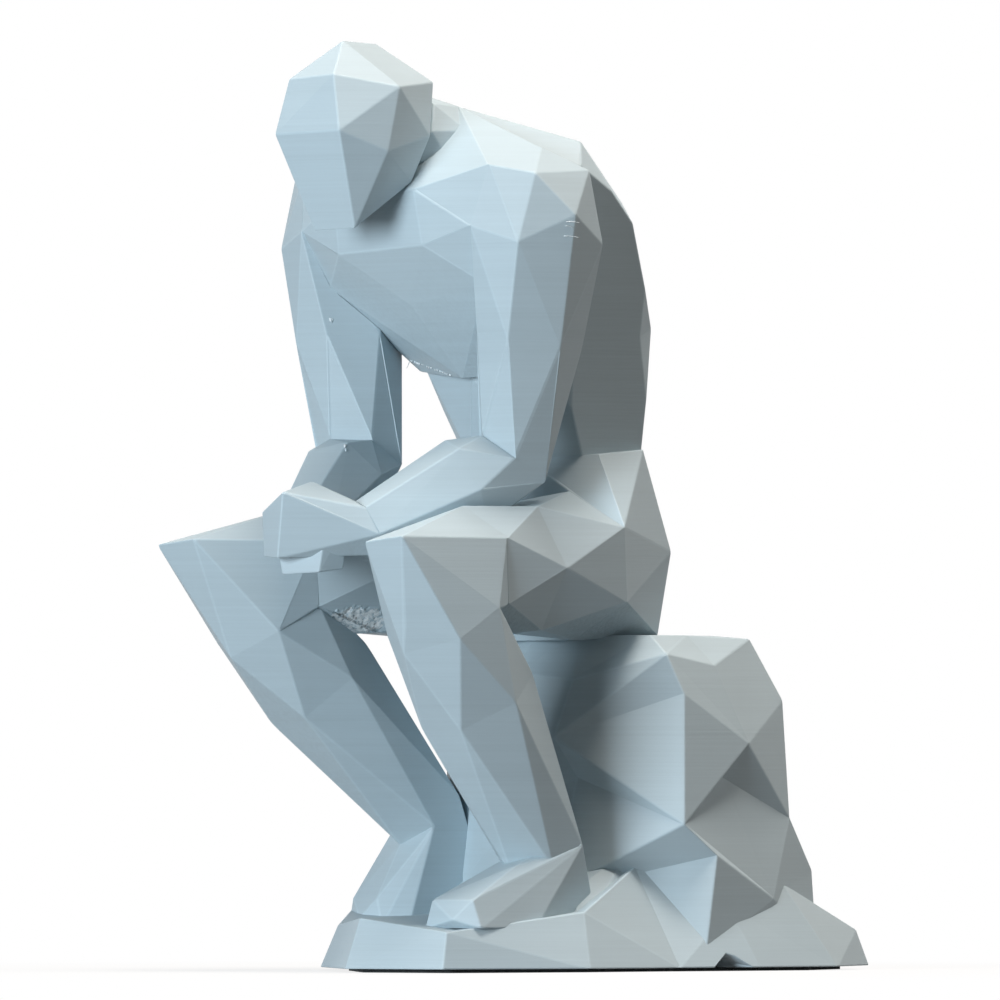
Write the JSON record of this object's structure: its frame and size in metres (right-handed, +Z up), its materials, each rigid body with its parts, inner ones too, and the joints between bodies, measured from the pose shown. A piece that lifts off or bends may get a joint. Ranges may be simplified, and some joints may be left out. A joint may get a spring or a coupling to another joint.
{
  "type": "seated figure statue",
  "caption": "Faceted statue of a seated figure lost in thought, head bowed and hands clasped between the knees, on a rough rock.",
  "frame": {"origin": "centre of the bounding box's footprint, on the underside of the felt", "axes": "+Z up; the figure faces -Y; its left hand is towards +X"},
  "size_m": [0.074, 0.1082, 0.1492],
  "materials": {
    "printed_plastic": "matt, printed in fine layers",
    "dowel_wood": "bare",
    "felt": "pressed felt"
  },
  "bodies": {
    "root": {"rock_base": "printed_plastic", "pelvis": "printed_plastic", "torso": "printed_plastic", "head": "printed_plastic", "left_thigh": "printed_plastic", "right_thigh": "printed_plastic", "left_lower_leg": "printed_plastic", "right_lower_leg": "printed_plastic", "left_upper_arm": "printed_plastic", "right_upper_arm": "printed_plastic", "left_forearm": "printed_plastic", "right_forearm": "printed_plastic", "clasped_hands": "printed_plastic", "dowels": "dowel_wood", "thin_dowels": "dowel_wood", "felt_sheet": "felt"}
  },
  "joints": []
}
